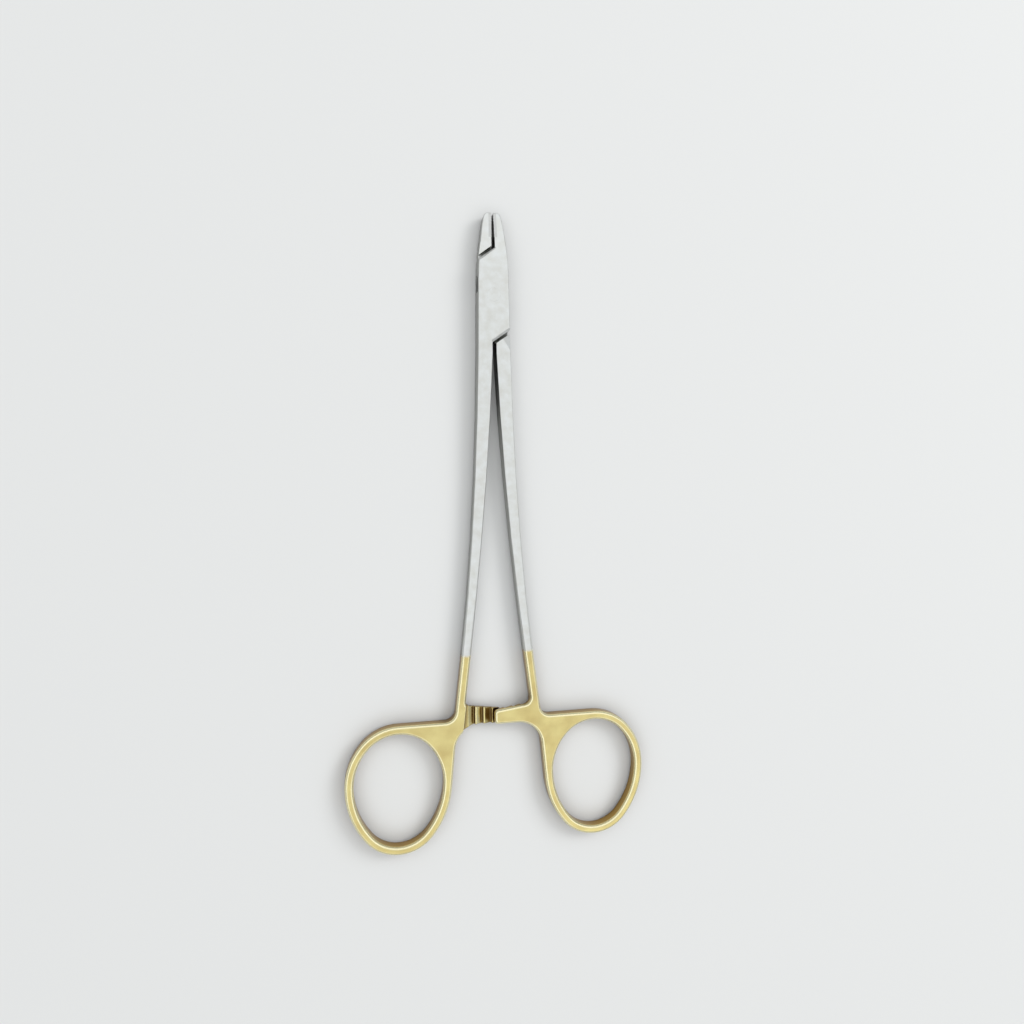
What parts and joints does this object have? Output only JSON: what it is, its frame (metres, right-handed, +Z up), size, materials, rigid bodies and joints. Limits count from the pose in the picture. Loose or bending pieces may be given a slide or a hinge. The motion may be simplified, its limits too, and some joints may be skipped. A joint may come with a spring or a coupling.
{
  "type": "wire twisting forceps",
  "caption": "Ring-handled wire twisting forceps with a box lock, serrated carbide jaw inserts, slender shanks and a toothed ratchet between the handles.",
  "frame": {"origin": "on the pivot axis, at the underside of the box lock", "axes": "+Y along the instrument towards the jaw tips, +Z up out of the lock's front face, +X to the right seen from the front with the jaws up"},
  "size_m": [0.0754, 0.1555, 0.0046],
  "materials": {
    "satin_steel": "satin stainless steel, with gold-plated polished handles from the ratchet up to the shanks' lower ends",
    "pin_steel": "satin, ground flush with the lock",
    "jaw_carbide": "ground tungsten carbide, matt grey"
  },
  "bodies": {
    "outer_half": {"box_half": "satin_steel", "pivot_pin": "pin_steel", "box_half_insert": "jaw_carbide"},
    "inner_half": {"tang_half": "satin_steel", "tang_half_insert": "jaw_carbide"}
  },
  "joints": [
    {"name": "lock_hinge", "type": "hinge", "parent": "outer_half", "child": "inner_half", "pos_m": [0, 0, 0], "axis": [0, 0, 1], "range_deg": [-0.6, 40]}
  ]
}
